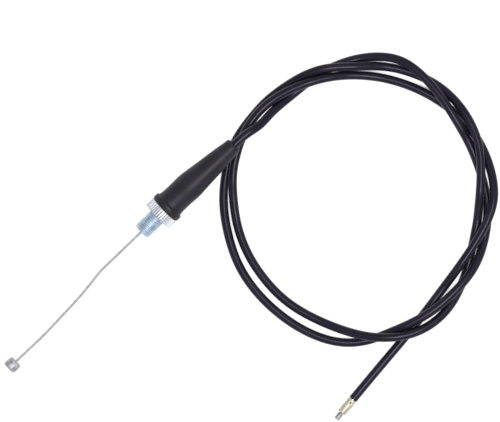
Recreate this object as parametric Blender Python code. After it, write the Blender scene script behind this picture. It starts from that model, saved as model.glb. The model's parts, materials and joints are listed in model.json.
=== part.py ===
"""Throttle cable for a small motorcycle, lying in loose coils on a flat surface.

A black jacketed housing runs from a threaded adjuster with a knurled nut and a
rubber boot, round three loose coils, to a crimped ferrule. A thin strand wire
slides inside it and ends in a cast nipple at the carburettor end and a small
cylindrical nipple at the grip end. All lengths below are in millimetres.
"""
import math

import bmesh
import bpy
import numpy as np
from mathutils import Matrix, Vector

MM = 0.001

# Clearance that neighbouring solids keep to each other
GAP = 0.3

# Layers of the housing, from the wire outwards
WIRE_R = 0.75
LINER_CLEARANCE = 0.25
LINER_WALL = 0.2
CONDUIT_CLEARANCE = 0.15
CONDUIT_WALL = 0.35
JACKET_CLEARANCE = 0.2
JACKET_WALL = 0.5
LINER_R = WIRE_R + LINER_CLEARANCE + LINER_WALL
CONDUIT_R = LINER_R + CONDUIT_CLEARANCE + CONDUIT_WALL
JACKET_R = CONDUIT_R + JACKET_CLEARANCE + JACKET_WALL
WIRE_HOLE_R = WIRE_R + GAP

# Points along the housing and sides of its tubes
ROUTE_POINTS = 80
JACKET_SIDES = 10
WIRE_SIDES = 8
HIDDEN_SIDES = 6

# Axis of the adjuster and the boot: it starts in the plane of the boot's rim
# and rises a little towards the boot's narrow end
AXIS_START = (-47.0, 15.5, 9.4)
AXIS_PLAN_ANGLE = 43.8
AXIS_RISE = 4.63

# Housing end and its cap inside the adjuster
CAP_WALL = 0.5
CAP_LENGTH = 14.0
CAP_BORE_R = JACKET_R + GAP
CAP_R = CAP_BORE_R + CAP_WALL
HOUSING_START = 3.3

# Adjuster sleeve
SEAT_BORE_R = CAP_R + GAP
SEAT_FLOOR = HOUSING_START - GAP - CAP_WALL - GAP
BARREL_WALL = 2.7
BARREL_R = SEAT_BORE_R + BARREL_WALL
BARREL_LENGTH = 18.0
THREAD_R = 4.85
THREAD_DEPTH = 0.62
THREAD_PITCH = 1.25
THREAD_LENGTH = 18.1
FRONT_BORE_R = 1.5

# Knurled lock nut
NUT_R = 8.9
NUT_WIDTH = 5.6
NUT_FLUTES = 38
FLUTE_DEPTH = 0.5
NUT_CHAMFER = 0.55

# Rubber boot
BOOT_LENGTH = 52.4
BOOT_WALL = 1.5
BOOT_BEAD_R = 9.3
BOOT_BEAD_WIDTH = 3.4
BOOT_SHOULDER = 19.4
BOOT_END_R = 4.6
BOOT_END_BEAD = 1.4

# Ferrule and its crimp at the grip end
FERRULE_R = 2.5
FERRULE_LENGTH = 9.4
FERRULE_END_WALL = 0.7
FERRULE_CHAMFER = 0.35
DIMPLE_R = 0.9
DIMPLE_DEPTH = 0.25
DIMPLE_FROM_JACKET = 2.4

# Nipples
GRIP_NIPPLE_R = 1.5
GRIP_NIPPLE_LENGTH = 4.2
GRIP_WIRE_SOCKET = 2.4
CARB_NIPPLE_R = 4.0
CARB_NIPPLE_LENGTH = 6.2
CARB_NIPPLE_ROUND = 1.3
CARB_WIRE_SOCKET = 3.0

# Stretch of wire that stays straight so that it can slide
WIRE_TRAVEL = 25.0
CARB_WIRE_REAR = 22.0
GRIP_WIRE_INNER = 29.0

# Shift that puts the box's centre over the origin
CENTRE = (-0.7, -0.2, 0.0)

# Route of the housing after the boot, one line per stretch of coil
ROUTE = [
    # over the boot's own coil, then down onto the surface and up the right side
    (-1.5, 57.5, 13.5), (5.3, 62.4, 11.4), (11.2, 67.3, 8.2), (17.4, 73.4, 4.6),
    (24.6, 79.8, 2.6), (34.6, 87.7, 2.4), (46.8, 94.7, 2.4), (59.6, 98.9, 2.4),
    (71.3, 100.1, 4.2), (83.0, 98.1, 6.6), (96.6, 88.6, 7.9), (109.6, 72.5, 8.0),
    (115.7, 62.7, 6.8), (121.2, 52.5, 3.9), (127.2, 37.0, 2.4), (131.7, 17.5, 2.4),
    # first coil: right, bottom and left, outermost on the left
    (130.5, -0.8, 2.9), (124.3, -17.2, 6.3), (114.3, -29.7, 8.3), (101.8, -40.6, 8.4),
    (85.9, -49.6, 6.8), (77.4, -53.3, 3.3), (66.8, -57.2, 2.4), (52.9, -58.8, 2.4),
    (33.5, -53.6, 2.4), (16.3, -42.8, 2.4), (3.2, -30.0, 2.4), (-6.5, -15.0, 2.4),
    (-11.9, 1.4, 2.4), (-14.3, 20.3, 2.4), (-13.0, 35.9, 2.4),
    # under the boot's narrow end and along the top
    (-8.1, 53.1, 2.4), (-0.3, 64.8, 2.4), (9.1, 75.3, 2.4), (19.1, 83.1, 2.6),
    (31.3, 90.1, 5.9), (41.8, 93.5, 7.9), (55.7, 95.0, 7.2), (65.2, 94.7, 5.4),
    (76.8, 93.7, 2.6), (89.1, 91.1, 2.4), (104.6, 83.7, 3.0), (119.6, 68.1, 7.4),
    # second coil: right, bottom and left, innermost on the right
    (126.8, 51.4, 7.8), (128.2, 38.1, 7.8), (127.9, 26.9, 7.7), (126.9, 17.5, 5.5),
    (125.6, 8.6, 3.0), (123.8, -0.8, 2.4), (117.4, -25.9, 2.4), (107.4, -42.8, 4.7),
    (91.9, -53.0, 7.7), (78.0, -55.8, 8.8), (64.6, -55.1, 7.4), (52.9, -52.2, 5.0),
    (36.8, -45.8, 2.6), (21.3, -36.6, 2.4), (7.4, -22.6, 2.4), (-2.1, -7.3, 2.4),
    (-7.3, 8.1, 2.5), (-9.2, 21.4, 4.0), (-9.4, 35.3, 6.3), (-7.5, 45.7, 6.6),
    # third coil: inner strand along the top
    (-4.9, 53.7, 6.7), (1.6, 65.2, 7.5), (9.2, 73.3, 7.4), (19.6, 80.2, 8.0),
    (31.3, 85.2, 8.5), (43.0, 88.1, 7.0), (56.8, 89.4, 3.9), (75.2, 87.9, 2.4),
    (94.6, 81.4, 2.4), (114.7, 68.2, 2.4), (126.9, 53.7, 2.4), (133.5, 38.1, 4.7),
    # outer right, then straight down to the ferrule
    (135.2, 20.3, 7.5), (129.3, 3.9, 7.8), (119.0, -12.5, 7.8), (106.8, -29.4, 3.5),
    (90.2, -51.0, 2.4), (75.3, -68.7, 2.5), (57.2, -90.4, 2.6),
]

# Bare wire after its straight stretch, down to the carburettor nipple
BARE_WIRE = [
    (-86.0, -22.8, 4.9), (-92.1, -30.4, 4.4), (-100.4, -39.7, 4.1), (-108.0, -47.8, 4.0),
    (-116.2, -56.3, 4.0), (-123.2, -62.9, 4.0), (-128.7, -68.1, 4.0), (-131.7, -70.9, 4.0),
]


def natural_spline(knots, values, at):
    """Natural cubic through values given at knots, read at the places in at."""
    count = len(knots)
    step = np.diff(knots)
    matrix = np.zeros((count, count))
    right = np.zeros(count)
    matrix[0, 0] = 1.0
    matrix[-1, -1] = 1.0
    for i in range(1, count - 1):
        matrix[i, i - 1] = step[i - 1]
        matrix[i, i] = 2 * (step[i - 1] + step[i])
        matrix[i, i + 1] = step[i]
        right[i] = 6 * ((values[i + 1] - values[i]) / step[i] - (values[i] - values[i - 1]) / step[i - 1])
    bend = np.linalg.solve(matrix, right)
    k = np.clip(np.searchsorted(knots, at, side='right') - 1, 0, count - 2)
    after = at - knots[k]
    before = knots[k + 1] - at
    width = step[k]
    cubic = (bend[k] * before ** 3 + bend[k + 1] * after ** 3) / (6 * width)
    return (cubic + (values[k] / width - bend[k] * width / 6) * before
            + (values[k + 1] / width - bend[k + 1] * width / 6) * after)


def level_spline(knots, values, at):
    """Cubic that never swings past its knots, so a strand can't dip below the surface."""
    step = np.diff(knots)
    rise = np.diff(values) / step
    slope = np.zeros(len(values))
    slope[0] = rise[0]
    slope[-1] = rise[-1]
    for i in range(1, len(values) - 1):
        if rise[i - 1] * rise[i] > 0:
            w1 = 2 * step[i] + step[i - 1]
            w2 = step[i] + 2 * step[i - 1]
            slope[i] = (w1 + w2) / (w1 / rise[i - 1] + w2 / rise[i])
    k = np.clip(np.searchsorted(knots, at, side='right') - 1, 0, len(step) - 1)
    u = (at - knots[k]) / step[k]
    return ((1 + 2 * u) * (1 - u) ** 2 * values[k] + u * (1 - u) ** 2 * step[k] * slope[k]
            + u * u * (3 - 2 * u) * values[k + 1] + u * u * (u - 1) * step[k] * slope[k + 1])


def smooth_path(points, spacing=0.25):
    """Dense points on a smooth curve through the given ones."""
    p = np.array(points, dtype=float)
    t = np.concatenate([[0.0], np.cumsum(np.linalg.norm(np.diff(p[:, :2], axis=0), axis=1))])
    at = np.linspace(0.0, t[-1], int(t[-1] / spacing))
    return np.stack([natural_spline(t, p[:, 0], at), natural_spline(t, p[:, 1], at),
                     level_spline(t, p[:, 2], at)], axis=1)


def lengths(points):
    """Running length along a row of points."""
    return np.concatenate([[0.0], np.cumsum(np.linalg.norm(np.diff(points, axis=0), axis=1))])


def read_path(points, at):
    """Points at the given running lengths."""
    s = lengths(points)
    return np.stack([np.interp(at, s, points[:, i]) for i in range(3)], axis=1)


def spread_points(points, count):
    """Reads count points from a path, closer together where it bends more."""
    s = lengths(points)
    at = np.linspace(0.0, s[-1], 1300)
    q = read_path(points, at)
    first = np.gradient(q, at, axis=0)
    second = np.gradient(first, at, axis=0)
    bend = np.linalg.norm(np.cross(first, second), axis=1) / np.linalg.norm(first, axis=1) ** 3
    weight = np.sqrt(np.maximum(bend, 1.0 / 140.0))
    window = np.hanning(15)
    weight = np.convolve(np.pad(weight, 7, mode='edge'), window / window.sum(), mode='valid')
    total = np.concatenate([[0.0], np.cumsum((weight[1:] + weight[:-1]) / 2 * np.diff(at))])
    return read_path(points, np.interp(np.linspace(0.0, total[-1], count), total, at))


def to_metres(points):
    return [Vector(p) * MM for p in points]


def axis_direction():
    rise = math.radians(AXIS_RISE)
    plan = math.radians(AXIS_PLAN_ANGLE)
    return Vector((math.cos(plan) * math.cos(rise), math.sin(plan) * math.cos(rise), math.sin(rise)))


def on_axis(along):
    """Point on the adjuster's axis, in millimetres from the boot's rim."""
    return Vector(AXIS_START) + Vector(CENTRE) + axis_direction() * along


def frame_at(point, direction):
    """Frame at a point in millimetres whose Z runs along direction."""
    turn = Vector(direction).to_track_quat('Z', 'Y').to_matrix().to_4x4()
    return Matrix.Translation(Vector(point) * MM) @ turn


def material(name, colour, roughness, metallic=0.0):
    mat = bpy.data.materials.new(name)
    mat.use_nodes = True
    mat.diffuse_color = (*colour, 1.0)
    shader = mat.node_tree.nodes['Principled BSDF']
    shader.inputs['Base Color'].default_value = (*colour, 1.0)
    shader.inputs['Roughness'].default_value = roughness
    shader.inputs['Metallic'].default_value = metallic
    return mat


def add_mesh(name, bm, mat, frame, sharp=35.0):
    """Turns a bmesh in metres into a named object in the given frame."""
    bmesh.ops.recalc_face_normals(bm, faces=bm.faces)
    mesh = bpy.data.meshes.new(name)
    bm.to_mesh(mesh)
    bm.free()
    mesh.materials.append(mat)
    mesh.shade_smooth()
    mesh.set_sharp_from_angle(angle=math.radians(sharp))
    ob = bpy.data.objects.new(name, mesh)
    ob.matrix_world = frame
    bpy.context.scene.collection.objects.link(ob)
    return ob


def turned(profile, steps, ring=True):
    """Spins a profile of (radius, along) in millimetres round Z.

    A ring's profile is a closed loop; otherwise both ends lie on the axis.
    """
    bm = bmesh.new()
    verts = [bm.verts.new((r * MM, 0.0, s * MM)) for r, s in profile]
    pairs = list(zip(verts, verts[1:] + verts[:1])) if ring else list(zip(verts, verts[1:]))
    edges = [bm.edges.new(pair) for pair in pairs]
    bmesh.ops.spin(bm, geom=verts + edges, cent=(0, 0, 0), axis=(0, 0, 1), dvec=(0, 0, 0),
                   angle=math.tau, steps=steps, use_merge=True)
    bmesh.ops.remove_doubles(bm, verts=bm.verts, dist=1e-6)
    return bm


def rounded(r0, s0, r1, s1, bulge_first, steps=3):
    """Quarter round between two profile points, turning at (r1, s0) or (r0, s1)."""
    points = []
    for i in range(1, steps):
        a = math.pi / 2 * i / steps
        if bulge_first:
            points.append((r0 + (r1 - r0) * math.sin(a), s0 + (s1 - s0) * (1 - math.cos(a))))
        else:
            points.append((r0 + (r1 - r0) * (1 - math.cos(a)), s0 + (s1 - s0) * math.sin(a)))
    return points


def tube(name, points, radius, sides, mat, wall=None):
    """Round bar through points in metres, or a tube if it has a wall."""
    curve = bpy.data.curves.new(name, 'CURVE')
    curve.dimensions = '3D'
    curve.bevel_depth = radius * MM
    curve.bevel_resolution = (sides - 4) // 2
    curve.use_fill_caps = wall is None
    spline = curve.splines.new('POLY')
    spline.points.add(len(points) - 1)
    for point, co in zip(spline.points, points):
        point.co = (*co, 1.0)
    spline.use_smooth = True
    curve.materials.append(mat)
    ob = bpy.data.objects.new(name, curve)
    bpy.context.scene.collection.objects.link(ob)
    if wall is not None:
        shell = ob.modifiers.new('wall', 'SOLIDIFY')
        shell.thickness = wall * MM
        shell.offset = -1.0
        shell.use_even_offset = False
    return ob


def build_housing(mats):
    """Jacket, coil and liner along one path, and the wire's hidden middle."""
    straight = [on_axis(s) for s in (HOUSING_START, 12, 21, 30, 38, 45, BOOT_LENGTH)]
    knots = straight + [Vector(p) + Vector(CENTRE) for p in ROUTE]
    path = smooth_path(knots)
    in_boot = BOOT_LENGTH - HOUSING_START
    s = lengths(path)
    free = path[np.searchsorted(s, in_boot):]
    start = np.array([on_axis(HOUSING_START), on_axis(BOOT_LENGTH / 2)])
    route = np.concatenate([start, spread_points(free, ROUTE_POINTS - 2)])
    tube('housing_jacket', to_metres(route), JACKET_R, JACKET_SIDES, mats['jacket'], JACKET_WALL)

    # The coil and the liner run on into the ferrule
    end = Vector(route[-1])
    way = (end - Vector(route[-2])).normalized()
    inner_end = end + way * (GAP + FERRULE_LENGTH - FERRULE_END_WALL - GAP)
    inner = np.concatenate([route, [inner_end]])
    tube('housing_conduit', to_metres(inner), CONDUIT_R, HIDDEN_SIDES, mats['steel'], CONDUIT_WALL)
    tube('liner', to_metres(inner), LINER_R, HIDDEN_SIDES, mats['liner'], LINER_WALL)

    # Hidden middle of the wire, between the two straight ends that slide
    s = lengths(route)
    rear = CARB_WIRE_REAR + GAP - HOUSING_START
    front = s[-1] - (GRIP_WIRE_INNER - GAP - FERRULE_LENGTH) - GAP
    keep = route[(s > rear + 1.0) & (s < front - 1.0)]
    middle = np.concatenate([read_path(route, [rear]), keep, read_path(route, [front])])
    tube('inner_wire_run', to_metres(middle), WIRE_R, HIDDEN_SIDES, mats['strand'])
    return end, way


def build_cap(mats, frame):
    """Steel cap crimped on the housing's end, inside the adjuster."""
    front = SEAT_FLOOR + GAP
    floor = front + CAP_WALL
    rear = front + CAP_LENGTH
    chamfer = CAP_WALL / 2
    profile = [(WIRE_HOLE_R, front), (CAP_R - chamfer, front), (CAP_R, front + chamfer),
               (CAP_R, rear), (CAP_BORE_R, rear), (CAP_BORE_R, floor), (WIRE_HOLE_R, floor)]
    add_mesh('carb_end_cap', turned(profile, 20), mats['cap'], frame)


def build_sleeve(mats, frame):
    """Adjuster: hollow thread in front, plain barrel under the boot behind."""
    tip = -THREAD_LENGTH
    root = THREAD_R - THREAD_DEPTH
    first = tip + THREAD_PITCH
    last = -THREAD_PITCH / 2
    rings = int(round((last - first) / THREAD_PITCH * 3))
    thread = [(root, first + (last - first) * i / rings) for i in range(rings + 1)]
    profile = [(FRONT_BORE_R, SEAT_FLOOR), (FRONT_BORE_R, tip + 0.4), (FRONT_BORE_R + 0.4, tip)]
    profile += [(root - 1.1, tip)] + rounded(root - 1.1, tip, root, tip + 0.9, True)
    profile += [(root, tip + 0.9)] + thread
    profile += [(root, 0.0), (BARREL_R - 0.5, 0.0), (BARREL_R, 0.5), (BARREL_R, BARREL_LENGTH - 0.6),
                (BARREL_R - 0.6, BARREL_LENGTH), (SEAT_BORE_R + 0.4, BARREL_LENGTH),
                (SEAT_BORE_R, BARREL_LENGTH - 0.4), (SEAT_BORE_R, SEAT_FLOOR)]
    bm = turned(profile, 20)

    # The thread's crest winds round the plain shank, one pitch per turn
    for vert in bm.verts:
        along = vert.co.z / MM
        radius = math.hypot(vert.co.x, vert.co.y) / MM
        if first - 0.01 < along < last + 0.01 and abs(radius - root) < 0.05:
            phase = (along / THREAD_PITCH - math.atan2(vert.co.y, vert.co.x) / math.tau) % 1.0
            height = THREAD_DEPTH * (1 - abs(2 * phase - 1))
            fade = min(1.0, 0.35 + (along - first) / THREAD_PITCH)
            factor = (root + height * fade) / radius
            vert.co.x *= factor
            vert.co.y *= factor
    add_mesh('adjuster_sleeve', bm, mats['zinc'], frame, sharp=50.0)


def build_nut(mats, frame):
    """Round lock nut on the thread, with straight flutes round its rim."""
    rear = -GAP
    front = rear - NUT_WIDTH
    bore = THREAD_R + GAP
    c = NUT_CHAMFER
    profile = [(bore, front + c), (bore + c, front), (NUT_R - FLUTE_DEPTH - c, front), (NUT_R, front + c),
               (NUT_R, rear - c), (NUT_R - FLUTE_DEPTH - c, rear), (bore + c, rear), (bore, rear - c)]
    bm = turned(profile, NUT_FLUTES * 2)
    for vert in bm.verts:
        radius = math.hypot(vert.co.x, vert.co.y) / MM
        turn = math.atan2(vert.co.y, vert.co.x) / math.tau * NUT_FLUTES
        if abs(radius - NUT_R) < 0.01 and abs(turn - round(turn)) > 0.25:
            factor = (NUT_R - FLUTE_DEPTH) / NUT_R
            vert.co.x *= factor
            vert.co.y *= factor
    add_mesh('knurled_nut', bm, mats['nut'], frame, sharp=30.0)


def build_boot(mats, frame):
    """Rubber boot: beaded rim, straight body, long taper gripping the housing."""
    bore = BARREL_R + GAP
    neck = JACKET_R + GAP
    body = bore + BOOT_WALL
    shoulder = BOOT_SHOULDER
    end = BOOT_LENGTH
    bead = BOOT_BEAD_WIDTH
    end_neck = BOOT_END_R - 0.35
    taper = end - BOOT_END_BEAD - shoulder
    profile = [(bore + 0.4, 0.0), (BOOT_BEAD_R - 0.8, 0.0)]
    profile += rounded(BOOT_BEAD_R - 0.8, 0.0, BOOT_BEAD_R, 0.8, True)
    profile += [(BOOT_BEAD_R, 0.8), (BOOT_BEAD_R, bead - 1.0)]
    profile += rounded(BOOT_BEAD_R, bead - 1.0, BOOT_BEAD_R - 0.8, bead, False)
    profile += [(body + 0.25, bead), (body, bead + 0.5), (body, shoulder), (body - 0.2, shoulder + 0.7)]
    for share in (0.22, 0.45, 0.7):
        profile.append((body - 0.2 + (end_neck - body + 0.2) * share, shoulder + 0.7 + (taper - 1.0) * share))
    profile += [(end_neck, end - BOOT_END_BEAD - 0.3), (BOOT_END_R, end - BOOT_END_BEAD),
                (BOOT_END_R, end - 0.4), (BOOT_END_R - 0.4, end), (neck + 0.3, end), (neck, end - 0.3)]
    inner_taper_end = shoulder + (end - shoulder) * 0.62
    profile += [(neck, inner_taper_end), (bore, BARREL_LENGTH + GAP), (bore, 0.4)]
    add_mesh('rubber_boot', turned(profile, 24), mats['rubber'], frame)


def build_ferrule(mats, end, way):
    """Ferrule on the bared coil at the grip end, crimped once near the jacket."""
    rear = GAP
    front = rear + FERRULE_LENGTH
    bore = CONDUIT_R + GAP
    floor = front - FERRULE_END_WALL
    c = FERRULE_CHAMFER
    dent = rear + DIMPLE_FROM_JACKET
    # The mouth is countersunk for the wire, and the ring left round it seats in the grip
    mouth = GRIP_NIPPLE_R + GAP / 2
    profile = [(bore, rear), (FERRULE_R - c / 2, rear), (FERRULE_R, rear + c / 2), (FERRULE_R, dent - DIMPLE_R),
               (FERRULE_R, dent), (FERRULE_R, dent + DIMPLE_R), (FERRULE_R, front - c),
               (FERRULE_R - c, front), (mouth, front), (WIRE_HOLE_R, front - FERRULE_END_WALL / 2),
               (WIRE_HOLE_R, floor), (bore, floor)]
    bm = turned(profile, 24)

    # Crimp dents pressed in on four sides
    for vert in bm.verts:
        along = vert.co.z / MM
        radius = math.hypot(vert.co.x, vert.co.y) / MM
        quarter = math.atan2(vert.co.y, vert.co.x) / (math.pi / 2)
        if abs(along - dent) < 0.01 and radius > bore + 0.1 and abs(quarter - round(quarter)) < 0.02:
            factor = (FERRULE_R - DIMPLE_DEPTH) / FERRULE_R
            vert.co.x *= factor
            vert.co.y *= factor
    add_mesh('grip_ferrule', bm, mats['ferrule'], frame_at(end, way))
    return front


def build_carb_end(mats, pivot):
    """Bare wire and cast nipple at the carburettor end, sliding as one."""
    direction = axis_direction()
    straight_end = -(THREAD_LENGTH + WIRE_TRAVEL + 2.5)
    straight = [on_axis(s) for s in (straight_end, straight_end - 3.0)]
    loose = smooth_path(straight + [Vector(p) + Vector(CENTRE) for p in BARE_WIRE], 0.5)
    s = lengths(loose)
    curved = read_path(loose, np.linspace(0.0, s[-1], 14))
    points = [on_axis(CARB_WIRE_REAR), on_axis(-THREAD_LENGTH / 2)] + [Vector(p) for p in curved]
    wire = tube('carb_wire', to_metres(points), WIRE_R, WIRE_SIDES, mats['strand'])

    end = Vector(curved[-1])
    way = (end - Vector(curved[-2])).normalized()
    mouth = end - way * (CARB_WIRE_SOCKET - GAP)
    r = CARB_NIPPLE_R
    n = CARB_NIPPLE_ROUND
    length = CARB_NIPPLE_LENGTH
    hole = WIRE_HOLE_R
    profile = [(0.0, CARB_WIRE_SOCKET), (hole, CARB_WIRE_SOCKET), (hole, 0.0), (r - n, 0.0)]
    profile += rounded(r - n, 0.0, r, n, True) + [(r, n), (r, length - n)]
    profile += rounded(r, length - n, r - n, length, False) + [(r - n, length), (0.0, length)]
    flat_way = Vector((way.x, way.y, 0.0)).normalized()
    nipple = add_mesh('carb_nipple', turned(profile, 24, ring=False), mats['cast'],
                      frame_at((mouth.x, mouth.y, r), flat_way))
    for ob in (wire, nipple):
        matrix = ob.matrix_world.copy()
        ob.parent = pivot
        ob.matrix_parent_inverse = pivot.matrix_world.inverted()
        ob.matrix_world = matrix
    return direction


def build_grip_end(mats, end, way, ferrule_front, pivot):
    """Wire end and small cylindrical nipple beyond the ferrule, sliding as one."""
    mouth = ferrule_front + GAP
    wire_end = mouth + GRIP_WIRE_SOCKET - GAP
    points = [end + way * (mouth - GRIP_WIRE_INNER), end + way * wire_end]
    wire = tube('grip_wire', to_metres(points), WIRE_R, WIRE_SIDES, mats['strand'])
    r = GRIP_NIPPLE_R
    hole = WIRE_HOLE_R
    rear = mouth + GRIP_NIPPLE_LENGTH
    profile = [(0.0, mouth + GRIP_WIRE_SOCKET), (hole, mouth + GRIP_WIRE_SOCKET), (hole, mouth),
               (r - 0.15, mouth), (r, mouth + 0.15), (r, rear - 0.35), (r - 0.35, rear), (0.0, rear)]
    nipple = add_mesh('grip_nipple', turned(profile, 20, ring=False), mats['pin'], frame_at(end, way))
    for ob in (wire, nipple):
        matrix = ob.matrix_world.copy()
        ob.parent = pivot
        ob.matrix_parent_inverse = pivot.matrix_world.inverted()
        ob.matrix_world = matrix


def add_pivot(name, frame):
    empty = bpy.data.objects.new(name, None)
    empty.empty_display_size = 0.01
    empty.matrix_world = frame
    bpy.context.scene.collection.objects.link(empty)
    return empty


def build():
    for ob in list(bpy.data.objects):
        bpy.data.objects.remove(ob, do_unlink=True)

    mats = {
        'jacket': material('jacket_black', (0.012, 0.012, 0.015), 0.35),
        'steel': material('conduit_steel', (0.42, 0.42, 0.43), 0.4, 1.0),
        'liner': material('liner_white', (0.75, 0.75, 0.72), 0.5),
        'strand': material('strand_steel', (0.5, 0.5, 0.5), 0.38, 1.0),
        'cap': material('cap_steel', (0.5, 0.5, 0.5), 0.35, 1.0),
        'zinc': material('blue_zinc', (0.45, 0.55, 0.66), 0.32, 1.0),
        'nut': material('nut_silver', (0.8, 0.8, 0.82), 0.28, 1.0),
        'rubber': material('boot_rubber', (0.025, 0.025, 0.027), 0.6),
        'ferrule': material('ferrule_plated', (0.72, 0.68, 0.55), 0.32, 1.0),
        'cast': material('cast_zinc', (0.4, 0.4, 0.41), 0.5, 1.0),
        'pin': material('pin_zinc', (0.45, 0.45, 0.46), 0.42, 1.0),
    }
    axis_frame = frame_at(on_axis(0.0), axis_direction())
    end, way = build_housing(mats)
    build_cap(mats, axis_frame)
    build_sleeve(mats, axis_frame)
    build_nut(mats, axis_frame)
    build_boot(mats, axis_frame)
    front = build_ferrule(mats, end, way)
    bpy.context.view_layer.update()
    build_carb_end(mats, add_pivot('carb_end_axis', frame_at(on_axis(-THREAD_LENGTH), axis_direction())))
    build_grip_end(mats, end, way, front, add_pivot('grip_end_axis', frame_at(end + way * front, way)))
    bpy.context.view_layer.update()


build()
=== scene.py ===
"""Throttle cable lying in loose coils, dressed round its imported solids."""
import json
import math

import bmesh
import bpy
import numpy as np
from mathutils import Matrix, Vector, noise


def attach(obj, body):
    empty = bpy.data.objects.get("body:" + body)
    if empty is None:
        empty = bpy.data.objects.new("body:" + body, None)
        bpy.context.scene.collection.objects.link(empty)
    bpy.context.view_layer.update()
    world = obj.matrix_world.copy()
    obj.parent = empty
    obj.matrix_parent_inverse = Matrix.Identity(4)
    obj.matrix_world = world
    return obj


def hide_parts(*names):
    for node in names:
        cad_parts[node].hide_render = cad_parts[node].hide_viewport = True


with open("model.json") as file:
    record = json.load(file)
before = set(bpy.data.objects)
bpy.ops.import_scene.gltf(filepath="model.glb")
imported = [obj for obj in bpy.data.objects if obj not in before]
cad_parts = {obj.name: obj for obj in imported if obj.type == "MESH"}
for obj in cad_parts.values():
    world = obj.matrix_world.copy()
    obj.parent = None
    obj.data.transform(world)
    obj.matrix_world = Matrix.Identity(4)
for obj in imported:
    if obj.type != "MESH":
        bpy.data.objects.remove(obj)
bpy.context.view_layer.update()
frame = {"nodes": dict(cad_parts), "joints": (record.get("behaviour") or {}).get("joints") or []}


# Camera
# It looks straight down from far off, as a product shot of a cable laid flat.
# VIEW_WIDTH is what it sees at FOCUS_HEIGHT, the top of the lowest strands.
VIEW_WIDTH = 0.2778
VIEW_CENTRE = (-0.00066, 0.01415)
CAMERA_HEIGHT = 3.0
FOCUS_HEIGHT = 0.005
SENSOR_WIDTH = 36.0
camera_data = bpy.data.cameras.new("camera")
camera_data.sensor_width = SENSOR_WIDTH
camera_data.lens = SENSOR_WIDTH * (CAMERA_HEIGHT - FOCUS_HEIGHT) / VIEW_WIDTH
camera_data.clip_end = 50.0
camera = bpy.data.objects.new("camera", camera_data)
camera.location = (*VIEW_CENTRE, CAMERA_HEIGHT)
bpy.context.scene.collection.objects.link(camera)
bpy.context.scene.camera = camera


# Housing jacket
# A black extruded plastic tube, smooth and satin, with the faint slanting
# ripple of the wound steel coil under it. It is bent by hand into loose coils.
MM = 0.001
JACKET_R = 2.45
JACKET_SIDES = 24
HOUSING_STEP = 2.0
FINE_STEP = 0.25
RIPPLE_ALONG = 4.2
RIPPLE_ROUND = 2.6
JACKET_DARK = (0.0080, 0.0068, 0.0130, 1)
JACKET_LIGHT = (0.0140, 0.0118, 0.0215, 1)
HOUSING_START = 3.3
BOOT_LENGTH = 52.4
BOOT_BEND = 0.9
BOOT_STIFF = 8.0
INSIDE_BOOT = (HOUSING_START, 12, 21, 30, 38, 45, BOOT_LENGTH)
CENTRE = Vector((-0.7, -0.2, 0.0))
adjuster_joint = next(j for j in frame["joints"] if j["name"] == "adjuster_turn")
AXIS_START = Vector(adjuster_joint["pos_m"]) / MM
AXIS_WAY = Vector(adjuster_joint["axis"]).normalized()
BEND_SIDE = Vector((AXIS_WAY.y, -AXIS_WAY.x, 0.0)).normalized()

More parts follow.
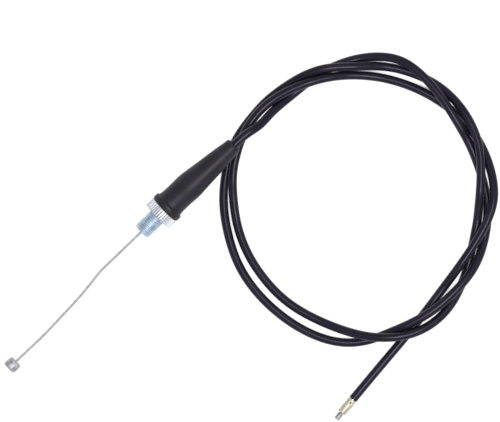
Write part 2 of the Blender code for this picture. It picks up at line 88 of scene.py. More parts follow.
ROUTE = [
    # out of the boot over two strands, down onto the surface and round to the right
    (-1.4, 57.3, 13.5), (5.5, 62.1, 11.4), (10.8, 67.7, 8.2), (17.2, 73.7, 4.6),
    (24.6, 79.8, 2.6), (34.6, 87.7, 2.4), (46.8, 94.7, 2.4), (59.6, 98.9, 2.4),
    (71.3, 100.1, 4.2), (83.0, 98.1, 6.6), (96.6, 88.6, 7.9), (109.6, 72.5, 8.0),
    (115.7, 62.7, 6.8), (121.5, 52.5, 3.9), (127.8, 37.0, 2.4), (132.0, 17.5, 2.4),
    # first coil: right, bottom and left, outermost on the left
    (130.5, -0.8, 2.9), (124.3, -17.2, 6.3), (114.3, -29.7, 8.3), (101.8, -40.6, 8.4),
    (85.9, -49.6, 6.8), (77.4, -53.3, 3.3), (66.8, -57.2, 2.4), (52.9, -58.8, 2.4),
    (33.5, -53.6, 2.4), (16.3, -42.8, 2.4), (3.2, -30.0, 2.4), (-6.5, -15.0, 2.4),
    (-12.1, 1.4, 2.4), (-14.7, 20.3, 2.4), (-13.3, 35.9, 2.4),
    # under the boot's narrow end and along the top
    (-8.1, 53.1, 2.4), (-0.3, 64.8, 2.4), (9.1, 75.3, 2.4), (19.1, 83.1, 2.6),
    (31.3, 90.1, 5.9), (41.8, 93.4, 7.9), (55.7, 94.5, 7.2), (65.2, 94.9, 5.4),
    (76.8, 94.4, 2.6), (89.1, 91.4, 2.4), (104.6, 83.9, 3.0), (119.6, 68.1, 7.4),
    # second coil: right, bottom and left, innermost on the right
    (126.8, 51.4, 7.8), (128.2, 38.1, 7.8), (127.9, 26.9, 7.7), (127.2, 17.5, 5.5),
    (126.3, 8.6, 3.0), (124.6, -0.8, 2.4), (117.9, -25.9, 2.4), (107.4, -42.8, 4.7),
    (91.9, -53.0, 7.7), (78.0, -55.8, 8.8), (64.6, -55.1, 7.4), (52.9, -52.2, 5.0),
    (36.8, -45.8, 2.6), (21.3, -36.6, 2.4), (7.4, -22.6, 2.4), (-2.1, -7.3, 2.4),
    (-7.3, 8.1, 2.5), (-9.2, 21.4, 4.0), (-9.4, 35.3, 6.3), (-7.5, 45.7, 6.6),
    # third coil: inner strand along the top
    (-4.9, 53.7, 6.7), (1.6, 65.2, 7.5), (9.2, 73.3, 7.4), (19.6, 80.2, 8.0),
    (31.3, 85.2, 8.5), (43.0, 88.4, 7.0), (56.8, 89.8, 3.9), (75.2, 88.0, 2.4),
    (94.6, 81.4, 2.4), (114.7, 68.2, 2.4), (126.9, 53.7, 2.4), (133.5, 38.1, 4.7),
    # outer right, then straight down to the ferrule
    (135.2, 20.3, 7.5), (129.3, 3.9, 7.8), (119.0, -12.5, 7.8), (106.8, -29.4, 3.5),
    (90.2, -51.0, 2.4), (75.3, -68.7, 2.5), (57.2, -90.4, 2.6),
]


def limited(share):
    """A share kept between 0 and 1."""
    return min(1.0, max(0.0, share))


def on_axis(along):
    """Point on the adjuster's axis in millimetres, counted from the boot's rim."""
    return AXIS_START + AXIS_WAY * along


def boot_bend(along):
    """The cable's weight bends the boot's narrow end a little sideways."""
    u = limited((along - BOOT_STIFF) / (BOOT_LENGTH - BOOT_STIFF))
    return BEND_SIDE * (BOOT_BEND * u * u * (3 - 2 * u))


def natural_spline(knots, values, at):
    """Natural cubic through values given at knots, read at the places in at."""
    count = len(knots)
    step = np.diff(knots)
    matrix = np.zeros((count, count))
    right = np.zeros(count)
    matrix[0, 0] = 1.0
    matrix[-1, -1] = 1.0
    for i in range(1, count - 1):
        matrix[i, i - 1:i + 2] = step[i - 1], 2 * (step[i - 1] + step[i]), step[i]
        right[i] = 6 * ((values[i + 1] - values[i]) / step[i]
                        - (values[i] - values[i - 1]) / step[i - 1])
    bend = np.linalg.solve(matrix, right)
    k = np.clip(np.searchsorted(knots, at, side="right") - 1, 0, count - 2)
    after = at - knots[k]
    before = knots[k + 1] - at
    width = step[k]
    cubic = (bend[k] * before ** 3 + bend[k + 1] * after ** 3) / (6 * width)
    return (cubic + (values[k] / width - bend[k] * width / 6) * before
            + (values[k + 1] / width - bend[k + 1] * width / 6) * after)


def level_spline(knots, values, at):
    """Cubic that never swings past its knots, so no strand dips under the surface."""
    step = np.diff(knots)
    rise = np.diff(values) / step
    slope = np.zeros(len(values))
    slope[0] = rise[0]
    slope[-1] = rise[-1]
    for i in range(1, len(values) - 1):
        if rise[i - 1] * rise[i] > 0:
            w1 = 2 * step[i] + step[i - 1]
            w2 = step[i] + 2 * step[i - 1]
            slope[i] = (w1 + w2) / (w1 / rise[i - 1] + w2 / rise[i])
    k = np.clip(np.searchsorted(knots, at, side="right") - 1, 0, len(step) - 1)
    u = (at - knots[k]) / step[k]
    return ((1 + 2 * u) * (1 - u) ** 2 * values[k] + u * (1 - u) ** 2 * step[k] * slope[k]
            + u * u * (3 - 2 * u) * values[k + 1] + u * u * (u - 1) * step[k] * slope[k + 1])


def smooth_path(points, spacing):
    """Points every spacing millimetres on a smooth curve through the given ones."""
    p = np.array(points, dtype=float)
    t = np.concatenate([[0.0], np.cumsum(np.linalg.norm(np.diff(p[:, :2], axis=0), axis=1))])
    at = np.linspace(0.0, t[-1], int(t[-1] / FINE_STEP))
    fine = np.stack([natural_spline(t, p[:, 0], at), natural_spline(t, p[:, 1], at),
                     level_spline(t, p[:, 2], at)], axis=1)
    s = running_length(fine)
    return read_path(fine, np.linspace(0.0, s[-1], int(s[-1] / spacing) + 1))


def running_length(points):
    """How far along the line each of its points is."""
    return np.concatenate([[0.0], np.cumsum(np.linalg.norm(np.diff(points, axis=0), axis=1))])


def read_path(points, at):
    """Places on the line at the given distances along it."""
    s = running_length(points)
    return np.stack([np.interp(at, s, points[:, i]) for i in range(3)], axis=1)


def swept_bar(name, points, radius, sides):
    """Mesh of a round bar along points in millimetres, with UVs in millimetres.

    U runs along the bar and V round it, so a pattern keeps its real scale.
    """
    curve = bpy.data.curves.new(name, "CURVE")
    curve.dimensions = "3D"
    curve.bevel_depth = radius * MM
    curve.bevel_resolution = (sides - 4) // 2
    curve.use_fill_caps = True
    spline = curve.splines.new("POLY")
    spline.points.add(len(points) - 1)
    for point, co in zip(spline.points, points):
        point.co = (*(Vector(co) * MM), 1.0)
    spline.use_smooth = True
    shell = bpy.data.objects.new(name, curve)
    bpy.context.scene.collection.objects.link(shell)
    graph = bpy.context.evaluated_depsgraph_get()
    mesh = bpy.data.meshes.new_from_object(shell.evaluated_get(graph))
    bpy.data.objects.remove(shell)
    mesh.name = name
    ring = running_length(np.array(points, dtype=float))
    uv = mesh.uv_layers.active or mesh.uv_layers.new(name="UVMap")
    loops = np.array([loop.vertex_index for loop in mesh.loops])
    side = loops % sides
    along = ring[np.minimum(loops // sides, len(ring) - 1)]
    around = side / sides * math.tau * radius
    for poly in mesh.polygons:
        span = range(poly.loop_start, poly.loop_start + poly.loop_total)
        wraps = {int(side[i]) for i in span} == {0, sides - 1}
        for i in span:
            extra = math.tau * radius if wraps and side[i] == 0 else 0.0
            uv.data[i].uv = (along[i], around[i] + extra)
    ob = bpy.data.objects.new(name, mesh)
    bpy.context.scene.collection.objects.link(ob)
    return ob


class Value:
    """A shader socket that Python's arithmetic can be written on."""

    def __init__(self, tree, socket):
        self.tree = tree
        self.socket = socket

    def node(self, kind, inputs=(), output=0, **settings):
        """Adds any node: its settings first, then the values or links of its sockets."""
        made = self.tree.nodes.new(kind)
        for key, value in settings.items():
            setattr(made, key, value)
        for key, value in dict(inputs).items():
            if isinstance(value, Value):
                self.tree.links.new(value.socket, made.inputs[key])
            else:
                made.inputs[key].default_value = value
        return Value(self.tree, made.outputs[output])

    def maths(self, operation, first, second=0.0):
        return self.node("ShaderNodeMath", {0: first, 1: second}, operation=operation)

    def __add__(self, other):
        return self.maths("ADD", self, other)

    def __radd__(self, other):
        return self.maths("ADD", other, self)

    def __sub__(self, other):
        return self.maths("SUBTRACT", self, other)

    def __rsub__(self, other):
        return self.maths("SUBTRACT", other, self)

    def __mul__(self, other):
        return self.maths("MULTIPLY", self, other)

    def __rmul__(self, other):
        return self.maths("MULTIPLY", other, self)

    def sine(self):
        return self.maths("SINE", self)

    def smooth(self, low, high):
        """0 below low, 1 above high, and a smooth step between."""
        inputs = {"Value": self, "From Min": low, "From Max": high}
        return self.node("ShaderNodeMapRange", inputs, interpolation_type="SMOOTHSTEP")

    def blend(self, first, second):
        """Colour first where this is 0 and second where it is 1."""
        inputs = {0: self, 6: first, 7: second}
        return self.node("ShaderNodeMix", inputs, output=2, data_type="RGBA")


class Finish:
    """A Principled material, with its coordinates and its varying sockets."""

    def __init__(self, name, **fixed):
        self.material = bpy.data.materials.new(name)
        self.material.use_nodes = True
        tree = self.material.node_tree
        self.shader = tree.nodes["Principled BSDF"]
        self.tree = tree
        self.start = Value(tree, None)
        for key, value in fixed.items():
            self.shader.inputs[key.replace("_", " ")].default_value = value

    def object_place(self):
        """Object coordinates in millimetres."""
        co = self.start.node("ShaderNodeTexCoord", output="Object")
        inputs = {0: co, "Scale": 1 / MM}
        return self.start.node("ShaderNodeVectorMath", inputs, operation="SCALE")

    def surface_place(self):
        """The piece's own UVs, in millimetres: U along it and V round it."""
        uv = self.start.node("ShaderNodeTexCoord", output="UV")
        parts = self.start.node("ShaderNodeSeparateXYZ", {0: uv})
        around = Value(self.tree, parts.socket.node.outputs[1])
        return parts, around

    def noise(self, place, scale, detail, roughness=0.5):
        inputs = {"Vector": place, "Scale": scale, "Detail": detail, "Roughness": roughness}
        return self.start.node("ShaderNodeTexNoise", inputs)

    def mark(self, name):
        """Number kept on the piece's own points, such as how deep a groove is there."""
        return self.start.node("ShaderNodeAttribute", output="Fac", attribute_name=name)

    def link(self, name, value):
        self.tree.links.new(value.socket, self.shader.inputs[name])

    def bump(self, height, strength, distance):
        inputs = {"Height": height, "Strength": strength, "Distance": distance}
        self.link("Normal", self.start.node("ShaderNodeBump", inputs))

    def put_on(self, ob):
        ob.data.materials.clear()
        ob.data.materials.append(self.material)


jacket_finish = Finish("jacket", IOR=1.33, Specular_Tint=(0.84, 0.80, 1.0, 1))
along, around = jacket_finish.surface_place()
place = jacket_finish.object_place()
ripple = ((along * RIPPLE_ALONG + around * RIPPLE_ROUND).sine() + 1.0) * 0.5
cloud = jacket_finish.noise(place, 0.12, 4.0)
grain = jacket_finish.noise(place, 1.6, 5.0, 0.6)
jacket_finish.link("Base Color", cloud.smooth(0.3, 0.7).blend(JACKET_DARK, JACKET_LIGHT))
jacket_finish.link("Roughness", 0.24 + 0.08 * cloud + 0.05 * grain)
jacket_finish.bump(ripple * 0.7 + grain * 0.3, 0.06, 0.0002)

straight = [on_axis(s) + boot_bend(s) for s in INSIDE_BOOT]
housing_path = smooth_path(straight + [Vector(p) + CENTRE for p in ROUTE], HOUSING_STEP)
jacket = swept_bar("jacket_tube", housing_path, JACKET_R, JACKET_SIDES)
jacket_finish.put_on(jacket)
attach(jacket, "housing")
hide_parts("housing_jacket")


# Rubber boot
# Moulded black rubber, pushed over the adjuster's barrel, with a bead round
# its rim and a long taper that grips the housing.
BOOT_STEPS = 96
BOOT_RING_STEP = 1.2
BOOT_DARK = (0.0150, 0.0140, 0.0185, 1)
BOOT_LIGHT = (0.0245, 0.0230, 0.0310, 1)
BOOT_PROFILE = [
    # radius and place along: bore, rim and bead
    (6.9, 0.0), (8.7, 0.0), (9.05, 0.08), (9.24, 0.26), (9.3, 0.55),
    (9.25, 2.7), (9.18, 3.0), (9.02, 3.2), (8.8, 3.32), (8.55, 3.42), (8.35, 3.6), (8.2, 3.95),
    (8.04, 4.7),
    # straight body, then the taper
    (7.88, 6.0), (7.8, 9.0), (7.85, 13.0), (8.0, 17.0), (7.98, 18.8), (7.9, 20.2), (7.72, 22.0),
    (7.2, 26.7), (6.7, 32.0), (6.2, 37.8), (5.4, 45.0), (4.8, 49.0),
    # slightly swollen narrow end
    (4.68, 50.4), (4.62, 51.0), (4.5, 51.5), (4.32, 51.95), (4.05, 52.25), (3.7, 52.4),
    (3.0, 52.4), (2.75, 52.2), (2.75, 41.0), (6.5, 18.3), (6.5, 0.3),
]


def frame_at(place, way):
    """Matrix that puts Z along way, at a place in millimetres."""
    turn = way.to_track_quat("Z", "Y").to_matrix().to_4x4()
    return Matrix.Translation(Vector(place) * MM) @ turn


def spun(profile, steps, ring=True):
    """Bmesh of a profile of (radius, along) in millimetres, spun round Z."""
    bm = bmesh.new()
    verts = [bm.verts.new((r * MM, 0.0, s * MM)) for r, s in profile]
    pairs = list(zip(verts, verts[1:])) + ([(verts[-1], verts[0])] if ring else [])
    edges = [bm.edges.new(pair) for pair in pairs]
    bmesh.ops.spin(bm, geom=verts + edges, cent=(0, 0, 0), axis=(0, 0, 1), dvec=(0, 0, 0),
                   angle=math.tau, steps=steps, use_merge=True)
    bmesh.ops.remove_doubles(bm, verts=bm.verts, dist=1e-6)
    return bm


def dense(profile, step, low, high):
    """Profile with extra points every step between the places low and high."""
    made = []
    for (r0, s0), (r1, s1) in zip(profile, profile[1:] + profile[:1]):
        made.append((r0, s0))
        if low <= min(s0, s1) and max(s0, s1) <= high:
            parts = int(max(abs(s1 - s0), abs(r1 - r0)) / step)
            made += [(r0 + (r1 - r0) * i / parts, s0 + (s1 - s0) * i / parts)
                     for i in range(1, parts)]
    return made


def settle(name, mesh, finish, body, node):
    """Makes a mesh a piece of the object, and hides the solid it stands for."""
    ob = bpy.data.objects.new(name, mesh)
    bpy.context.scene.collection.objects.link(ob)
    finish.put_on(ob)
    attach(ob, body)
    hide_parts(node)
    return ob


def piece_from(name, bm, place, finish, body, node, sharp=38.0):
    """Turns a spun bmesh into place and makes it a piece, with its sharp edges kept."""
    bmesh.ops.transform(bm, matrix=place, verts=bm.verts)
    bmesh.ops.recalc_face_normals(bm, faces=bm.faces)
    mesh = bpy.data.meshes.new(name)
    bm.to_mesh(mesh)
    bm.free()
    mesh.shade_smooth()
    mesh.set_sharp_from_angle(angle=math.radians(sharp))
    return settle(name, mesh, finish, body, node)


rubber_finish = Finish("rubber", IOR=1.34, Specular_Tint=(0.93, 0.90, 1.0, 1))
place = rubber_finish.object_place()
cloud = rubber_finish.noise(place, 0.09, 4.0)
skin = rubber_finish.noise(place, 2.2, 4.0, 0.6)
rubber_finish.link("Base Color", cloud.smooth(0.3, 0.7).blend(BOOT_DARK, BOOT_LIGHT))
rubber_finish.link("Roughness", 0.40 + 0.12 * cloud)
rubber_finish.bump(skin, 0.1, 0.0002)
AXIS_FRAME = frame_at(AXIS_START, AXIS_WAY)
bm = spun(dense(BOOT_PROFILE, BOOT_RING_STEP, 3.5, 51.0), BOOT_STEPS)
side = AXIS_FRAME.to_3x3().inverted() @ BEND_SIDE
for vert in bm.verts:
    vert.co += side * boot_bend(vert.co.z / MM).length * MM
piece_from("boot", bm, AXIS_FRAME, rubber_finish, "housing", "rubber_boot")


# Adjuster sleeve
# Turned steel with blue zinc plating: a fine right-hand thread in front, its
# tip rounded over, and a plain hollow barrel under the boot.
THREAD_R = 5.2
THREAD_ROOT = 4.55
THREAD_PITCH = 1.25
THREAD_TIP = -18.5
THREAD_STEPS = 96
THREAD_FIRST = THREAD_TIP + 0.8
THREAD_LAST = -0.7
THREAD_SPARE = 0.3
CREST_SLOPE = 1.25
CREST_START = 0.06
TIP_CREST = 0.6
RUNOUT = 2
ZINC_DARK = (0.50, 0.60, 0.69, 1)
ZINC_LIGHT = (0.66, 0.76, 0.86, 1)
SLEEVE_PROFILE = [
    (1.5, 2.2), (1.5, THREAD_TIP + 0.5), (1.7, THREAD_TIP + 0.15), (2.1, THREAD_TIP),
    (3.95, THREAD_TIP), (4.3, THREAD_TIP + 0.1), (4.48, THREAD_TIP + 0.3),
    (THREAD_ROOT, THREAD_FIRST), (THREAD_ROOT, THREAD_LAST), (THREAD_ROOT, 0.0),
    (5.7, 0.0), (6.2, 0.5), (6.2, 17.4), (5.6, 18.0), (3.9, 18.0), (3.5, 17.6), (3.5, 2.2),
]

bm = spun(dense(SLEEVE_PROFILE, THREAD_PITCH / 10, THREAD_FIRST, THREAD_LAST), THREAD_STEPS)
# the crest winds round the root, begins low at the tip and runs out by the boot
for vert in bm.verts:
    s = vert.co.z / MM
    r = vert.co.xy.length / MM
    threaded = THREAD_FIRST - THREAD_SPARE < s < THREAD_LAST + THREAD_SPARE
    if threaded and abs(r - THREAD_ROOT) < 0.05:
        phase = (s / THREAD_PITCH - math.atan2(vert.co.y, vert.co.x) / math.tau) % 1.0
        height = limited(CREST_SLOPE * (1 - abs(2 * phase - 1)) - CREST_START)
        fade = min(limited((s - THREAD_FIRST) / THREAD_PITCH + TIP_CREST),
                   limited((THREAD_LAST - s) * RUNOUT))
        vert.co.xy *= (THREAD_ROOT + (THREAD_R - THREAD_ROOT) * height * fade) / r

zinc_finish = Finish("blue_zinc", Metallic=1.0)
place = zinc_finish.object_place()
cloud = zinc_finish.noise(place, 0.35, 4.0)
speck = zinc_finish.noise(place, 3.0, 4.0, 0.7)
zinc_finish.link("Base Color", cloud.smooth(0.3, 0.7).blend(ZINC_DARK, ZINC_LIGHT))
zinc_finish.link("Roughness", 0.40 + 0.12 * speck)
zinc_finish.bump(speck, 0.08, 0.0001)
piece_from("adjuster", bm, AXIS_FRAME, zinc_finish, "adjuster", "adjuster_sleeve",
           sharp=50.0)


# Knurled lock nut
# A bright plated round nut, pressed all round with straight flutes, that
# locks the adjuster on the thread.
NUT_R = 9.05
NUT_FLUTES = 38
FLUTE_DEPTH = 0.38
FLUTE_STEPS = 8
FLUTE_HALF_WIDTH = 0.22
FLUTED_FROM = 8.3
FLUTE_RUNOUT = 0.4
NUT_DARK = (0.76, 0.78, 0.82, 1)
NUT_LIGHT = (0.85, 0.87, 0.90, 1)
FLUTE_SHADE = (0.30, 0.29, 0.35, 1)
NUT_PROFILE = [
    (5.35, -5.4), (5.5, -5.7), (5.8, -5.95), (8.35, -5.95), (8.6, -5.9), (8.8, -5.78),
    (8.95, -5.58), (9.02, -5.35), (NUT_R, -5.1), (NUT_R, -3.1), (NUT_R, -1.1), (9.02, -0.8),
    (8.95, -0.58), (8.8, -0.42), (8.6, -0.33), (8.35, -0.3), (5.8, -0.3), (5.35, -0.85),
]

bm = spun(NUT_PROFILE, NUT_FLUTES * FLUTE_STEPS)
# Each flute's depth is kept on the points, to paint shade in the flutes.
painted_flute_shade = bm.verts.layers.float.new("groove")
for vert in bm.verts:
    r = vert.co.xy.length / MM
    if r > FLUTED_FROM:
        turn = math.atan2(vert.co.y, vert.co.x) / math.tau * NUT_FLUTES % 1.0
        groove = max(0.0, 1 - abs(turn - 0.5) / FLUTE_HALF_WIDTH)
        groove = math.sin(groove * math.pi / 2) * min(1.0, (r - FLUTED_FROM) / FLUTE_RUNOUT)
        vert[painted_flute_shade] = groove
        vert.co.xy *= (r - FLUTE_DEPTH * groove) / r

nut_finish = Finish("bright_plate", Metallic=1.0)
place = nut_finish.object_place()
cloud = nut_finish.noise(place, 0.3, 3.0)
bright = cloud.smooth(0.3, 0.7).blend(NUT_DARK, NUT_LIGHT)
# Painted shade: the flutes are coloured darker, down to FLUTE_SHADE, the deeper they are.
nut_finish.link("Base Color", nut_finish.mark("groove").blend(bright, FLUTE_SHADE))
nut_finish.link("Roughness", 0.48 + 0.1 * cloud)
piece_from("lock_nut", bm, AXIS_FRAME, nut_finish, "nut", "knurled_nut", sharp=30.0)


# Housing cap
# A drawn steel cap pushed over the housing's end and seated in the adjuster's
# bore. It is never seen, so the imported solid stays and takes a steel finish.
CAP_DARK = (0.42, 0.42, 0.43, 1)
CAP_LIGHT = (0.6, 0.6, 0.6, 1)
cap_finish = Finish("drawn_steel", Metallic=1.0)
cloud = cap_finish.noise(cap_finish.object_place(), 0.5, 3.0)
cap_finish.link("Base Color", cloud.blend(CAP_DARK, CAP_LIGHT))
cap_finish.link("Roughness", 0.3 + 0.15 * cloud)
cap_finish.put_on(frame["nodes"]["carb_end_cap"])


# Bare wire
# Galvanised steel strand: six wires laid round a seventh. It leaves the
# adjuster straight and droops to the carburettor's nipple.
WIRE_R = 0.75
STRAND_R = 0.26
STRAND_LAY = 7.0
STRAND_SIDES = 6
OUTER_WIRES = 6
CORE_SHARE = 0.9
WIRE_REAR = 22.0
WIRE_STRAIGHT = 27.1
STRAIGHT_POINTS = 150
WIRE_STEP = 0.45
STRAND_DARK = (0.46, 0.46, 0.47, 1)
STRAND_LIGHT = (0.60, 0.60, 0.60, 1)
WIRE_KNOTS = [
    (-86.0, -22.8, 4.9), (-92.1, -30.4, 4.4), (-100.4, -39.7, 4.1), (-108.0, -47.8, 4.0),
    (-116.2, -56.3, 4.0), (-123.2, -62.9, 4.0), (-128.7, -68.1, 4.0), (-131.7, -70.9, 4.0),
]

strand_finish = Finish("strand", Metallic=0.6)
cloud = strand_finish.noise(strand_finish.object_place(), 0.8, 4.0)
strand_finish.link("Base Color", cloud.smooth(0.35, 0.7).blend(STRAND_DARK, STRAND_LIGHT))
strand_finish.link("Roughness", 0.42 + 0.15 * cloud)


def laid_strands(name, path, finish, body, node):
    """Seven round wires, six of them wound round the path, as one piece."""
    s = running_length(path)
    way = np.gradient(path, s, axis=0)
    way /= np.linalg.norm(way, axis=1)[:, None]
    flat = np.cross(way, (0.0, 0.0, 1.0))
    flat /= np.linalg.norm(flat, axis=1)[:, None]
    up = np.cross(flat, way)
    parts = [swept_bar(name + "_core", path, STRAND_R * CORE_SHARE, STRAND_SIDES)]
    for i in range(OUTER_WIRES):
        angle = s / STRAND_LAY * math.tau + i * math.tau / OUTER_WIRES
        lay = (WIRE_R - STRAND_R) * (flat * np.cos(angle)[:, None] + up * np.sin(angle)[:, None])
        parts.append(swept_bar(f"{name}_{i}", path + lay, STRAND_R, STRAND_SIDES))
    bm = bmesh.new()
    for part in parts:
        bm.from_mesh(part.data)
        bpy.data.objects.remove(part)
    mesh = bpy.data.meshes.new(name)
    bm.to_mesh(mesh)
    bm.free()
    mesh.shade_smooth()
    return settle(name, mesh, finish, body, node)


bend_start = THREAD_TIP - WIRE_STRAIGHT
knots = [on_axis(bend_start), on_axis(bend_start - 3.0)] + [Vector(p) + CENTRE for p in WIRE_KNOTS]
loose = smooth_path(knots, WIRE_STEP)
straight = np.linspace(on_axis(WIRE_REAR), on_axis(bend_start), STRAIGHT_POINTS)[:-1]
wire_path = np.concatenate([straight, loose])
wire = laid_strands("bare_strand", wire_path, strand_finish, "carb_end", "carb_wire")


# Carburettor nipple
# Zinc cast on the wire's end: a stout drum with rounded edges, grey and
# pitted all over. It sits in the carburettor's slide.
DRUM_R = 4.0
DRUM_LENGTH = 6.2
DRUM_ROUND = 1.3
DRUM_STEPS = 64
DRUM_RING_STEP = 0.4
WIRE_IN_DRUM = 2.7
SOCKET_R = 0.85
SOCKET_DEPTH = 3.0
SMOOTH_R = 1.5
SMOOTH_DEPTH = 4.0
PIT_DEPTH = 0.16
CAST_DARK = (0.34, 0.34, 0.36, 1)
CAST_LIGHT = (0.56, 0.56, 0.60, 1)
drum_end = Vector(loose[-1])
drum_way = (drum_end - Vector(loose[-5])).normalized()
mouth = drum_end - drum_way * WIRE_IN_DRUM
drum_flat = Vector((drum_way.x, drum_way.y, 0.0)).normalized()
drum_frame = frame_at((mouth.x, mouth.y, DRUM_R), drum_flat)


def quarter(r0, s0, r1, s1, bulge_first, steps=5):
    """Quarter round between two profile points: outwards at first, or along at first."""
    made = []
    for i in range(steps + 1):
        a = math.pi / 2 * i / steps
        if bulge_first:
            made.append((r0 + (r1 - r0) * math.sin(a), s0 + (s1 - s0) * (1 - math.cos(a))))
        else:
            made.append((r0 + (r1 - r0) * (1 - math.cos(a)), s0 + (s1 - s0) * math.sin(a)))
    return made


profile = [(0.0, SOCKET_DEPTH), (SOCKET_R, SOCKET_DEPTH), (SOCKET_R, 0.0)]
profile += quarter(DRUM_R - DRUM_ROUND, 0.0, DRUM_R, DRUM_ROUND, True)
profile += quarter(DRUM_R, DRUM_LENGTH - DRUM_ROUND, DRUM_R - DRUM_ROUND, DRUM_LENGTH, False)
profile += [(1.4, DRUM_LENGTH), (0.0, DRUM_LENGTH)]
bm = spun(dense(profile, DRUM_RING_STEP, 0.0, DRUM_LENGTH)[:-1], DRUM_STEPS, ring=False)
drum_middle = Vector((0, 0, DRUM_LENGTH * MM / 2))
for vert in bm.verts:
    # the wire's socket stays smooth
    if vert.co.xy.length > SMOOTH_R * MM or vert.co.z > SMOOTH_DEPTH * MM:
        dent = noise.noise(vert.co * 420.0) * 0.6 + noise.noise(vert.co * 1100.0) * 0.4
        vert.co -= (vert.co - drum_middle).normalized() * (PIT_DEPTH * MM * (dent + 0.75))

cast_finish = Finish("cast_zinc", Metallic=0.85)
place = cast_finish.object_place()
blotch = cast_finish.noise(place, 0.55, 4.0, 0.6)
pit = cast_finish.noise(place, 2.4, 5.0, 0.65)
cast_finish.link("Base Color", blotch.smooth(0.35, 0.62).blend(CAST_DARK, CAST_LIGHT))
cast_finish.link("Roughness", 0.5 + 0.15 * pit)
cast_finish.bump(blotch * 0.6 + pit * 0.4, 0.5, 0.0004)
piece_from("carb_drum", bm, drum_frame, cast_finish, "carb_end", "carb_nipple",
           sharp=60.0)


# Ferrule
# A short brass-toned plated sleeve over the bared coil at the grip end. It is
# crimped with two round dimples by the jacket and a long dent by its mouth.
FERRULE_R = 2.5
FERRULE_LENGTH = 9.4
FERRULE_REAR = 0.3
FERRULE_RINGS = 36
FERRULE_STEPS = 72
CRIMP_LIMIT = 0.6
# Painted shade in the crimps begins at this depth and is full this much deeper.
CRIMP_SHADE_FROM = 0.12
CRIMP_SHADE_SPAN = 0.3
FERRULE_DARK = (0.54, 0.52, 0.42, 1)
FERRULE_LIGHT = (0.70, 0.68, 0.57, 1)
CRIMP_SHADE = (0.09, 0.08, 0.055, 1)
CRIMPS = [
    # place along, turn from the top in degrees, length, width, depth
    (2.4, 6.0, 1.1, 1.15, 0.42),
    (7.9, 32.0, 2.4, 0.65, 0.75),
    (2.4, 186.0, 1.1, 1.15, 0.42),
]
grip_joint = next(j for j in frame["joints"] if j["name"] == "grip_wire_slide")
GRIP_WAY = Vector(grip_joint["axis"]).normalized()
housing_end = Vector(housing_path[-1])
GRIP_FRAME = frame_at(housing_end, GRIP_WAY)
front = FERRULE_REAR + FERRULE_LENGTH
profile = [(2.0, FERRULE_REAR), (2.38, FERRULE_REAR), (FERRULE_R, 0.45)]
profile += [(FERRULE_R, 0.45 + (front - 0.85) * i / FERRULE_RINGS)
            for i in range(1, FERRULE_RINGS + 1)]
profile += [(2.44, front - 0.2), (2.28, front - 0.05), (2.1, front), (1.05, front),
            (1.05, front - 0.7), (2.0, front - 0.7)]
bm = spun(profile, FERRULE_STEPS)
# Each crimp's depth is kept on the points as painted shade in the dents.
painted_crimp_shade = bm.verts.layers.float.new("crimp")
for vert in bm.verts:
    r = vert.co.xy.length / MM
    if r > 2.2:
        s = vert.co.z / MM
        turn = math.degrees(math.atan2(vert.co.x, vert.co.y))
        depth = 0.0
        for place_s, place_turn, length, width, deep in CRIMPS:
            off = math.radians((turn - place_turn + 180) % 360 - 180) * r
            depth += deep * math.exp(-((s - place_s) / length) ** 2 * 2 - (off / width) ** 2 * 2)
        vert[painted_crimp_shade] = limited((depth - CRIMP_SHADE_FROM) / CRIMP_SHADE_SPAN)
        vert.co.xy *= (r - min(depth, CRIMP_LIMIT)) / r

ferrule_finish = Finish("warm_plate", Metallic=0.85)
cloud = ferrule_finish.noise(ferrule_finish.object_place(), 0.5, 4.0)
plate = cloud.smooth(0.3, 0.7).blend(FERRULE_DARK, FERRULE_LIGHT)
# Painted shade: the dents are coloured darker, down to CRIMP_SHADE.
ferrule_finish.link("Base Color", ferrule_finish.mark("crimp").blend(plate, CRIMP_SHADE))
ferrule_finish.link("Roughness", 0.50 + 0.14 * cloud)
piece_from("ferrule", bm, GRIP_FRAME, ferrule_finish, "housing", "grip_ferrule",
           sharp=45.0)


# Grip end of the wire
# The strand ends in a small cast cylinder, which hooks into the throttle
# grip and here rests against the ferrule.
PIN_R = 1.5
PIN_LENGTH = 4.2
PIN_GAP = 0.3
PIN_SOCKET = 2.4
PIN_STEPS = 48
INNER_REACH = 29.0
INNER_IN_PIN = 2.1
INNER_POINTS = 70
PIN_DARK = (0.26, 0.26, 0.27, 1)
PIN_LIGHT = (0.48, 0.48, 0.5, 1)
pin_front = front + PIN_GAP
pin_end = pin_front + PIN_LENGTH
profile = [(0.0, pin_front + PIN_SOCKET), (SOCKET_R, pin_front + PIN_SOCKET),
           (SOCKET_R, pin_front), (1.3, pin_front), (1.42, pin_front + 0.05),
           (PIN_R, pin_front + 0.2), (PIN_R, pin_end - 0.4), (1.42, pin_end - 0.15),
           (1.2, pin_end), (0.0, pin_end)]
bm = spun(profile, PIN_STEPS, ring=False)
pin_finish = Finish("dull_zinc", Metallic=0.9)
place = pin_finish.object_place()
blotch = pin_finish.noise(place, 0.9, 4.0)
pin_finish.link("Base Color", blotch.smooth(0.3, 0.7).blend(PIN_DARK, PIN_LIGHT))
pin_finish.link("Roughness", 0.46 + 0.12 * blotch)
pin_finish.bump(blotch, 0.25, 0.0002)
piece_from("grip_pin", bm, GRIP_FRAME, pin_finish, "grip_end", "grip_nipple")
inner = np.linspace(housing_end + GRIP_WAY * (pin_front - INNER_REACH),
                    housing_end + GRIP_WAY * (pin_front + INNER_IN_PIN), INNER_POINTS)
laid_strands("grip_strand", inner, strand_finish, "grip_end", "grip_wire")


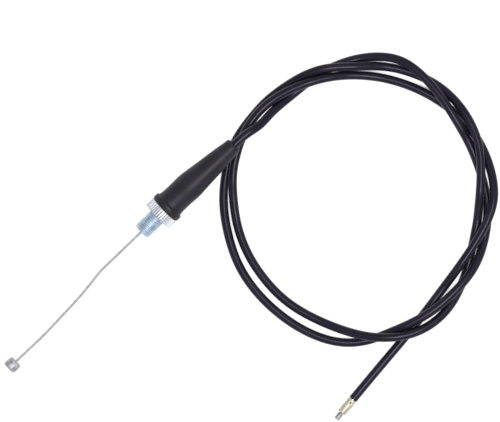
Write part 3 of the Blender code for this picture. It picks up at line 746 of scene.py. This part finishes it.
# Inside of the housing
# A coil of flat steel wire under the jacket, wound on a white liner that the
# wire runs in. Nobody sees it, so one closed bar with the coil's pattern stands
# for all three. It reaches on into the ferrule, which is crimped on it.
CONDUIT_R = 1.7
CONDUIT_SIDES = 12
CONDUIT_REACH = 8.7
WINDING = 5.2
COIL_DARK = (0.2, 0.2, 0.2, 1)
COIL_LIGHT = (0.5, 0.5, 0.5, 1)
conduit_end = housing_end + GRIP_WAY * CONDUIT_REACH
long_path = np.concatenate([housing_path[::2], [conduit_end]])
steel_finish = Finish("coil_steel", Metallic=1.0)
along, around = steel_finish.surface_place()
turn = (along * WINDING).sine()
steel_finish.link("Base Color", turn.smooth(-0.6, 0.6).blend(COIL_DARK, COIL_LIGHT))
steel_finish.link("Roughness", 0.4 - 0.1 * turn)
coil = swept_bar("wound_coil", long_path, CONDUIT_R, CONDUIT_SIDES)
steel_finish.put_on(coil)
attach(coil, "housing")
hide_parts("housing_conduit", "liner", "inner_wire_run")


# Surface and light
# A plain white surface that fills the view and darkens where strands lie close
# together, as light can't reach it there. An even white sky lights all, and one
# softbox, high at the lower right, draws a thin line along each strand's top.
SURFACE_HALF = 3.0
SURFACE_HEIGHT = -0.0003
SURFACE_GLOW = 0.97
GAP_REACH = 0.012
GAP_SHADE = (0.01, 0.01, 0.015, 1)
WHITE = (1, 1, 1, 1)
SKY_STRENGTH = 0.6
LIGHT_PLACE = Vector((0.35, -0.25, 1.6))
LIGHT_SIDE = 0.5
LIGHT_POWER = 15.0
surface_bm = bmesh.new()
bmesh.ops.create_grid(surface_bm, x_segments=1, y_segments=1, size=SURFACE_HALF)
surface_mesh = bpy.data.meshes.new("surface")
surface_bm.to_mesh(surface_mesh)
surface_bm.free()
surface = bpy.data.objects.new("surface", surface_mesh)
surface.location = (0.0, 0.0, SURFACE_HEIGHT)
bpy.context.scene.collection.objects.link(surface)
surface_finish = Finish("white_surface", Base_Color=(0.12, 0.12, 0.12, 1), Roughness=0.9,
                        Emission_Strength=SURFACE_GLOW)
openness = surface_finish.start.node("ShaderNodeAmbientOcclusion", {"Distance": GAP_REACH},
                                     output="AO")
surface_finish.link("Emission Color", openness.smooth(0.08, 0.19).blend(GAP_SHADE, WHITE))
surface_finish.put_on(surface)

world = bpy.data.worlds.new("studio")
world.use_nodes = True
world.node_tree.nodes["Background"].inputs["Color"].default_value = WHITE
world.node_tree.nodes["Background"].inputs["Strength"].default_value = SKY_STRENGTH
bpy.context.scene.world = world

light = bpy.data.lights.new("top_light", "AREA")
light.shape = "RECTANGLE"
light.size = light.size_y = LIGHT_SIDE
light.energy = LIGHT_POWER
softbox = bpy.data.objects.new("top_light", light)
softbox.location = LIGHT_PLACE
softbox.rotation_euler = (-LIGHT_PLACE).to_track_quat("-Z", "Y").to_euler()
bpy.context.scene.collection.objects.link(softbox)
bpy.context.scene.view_settings.view_transform = "Standard"
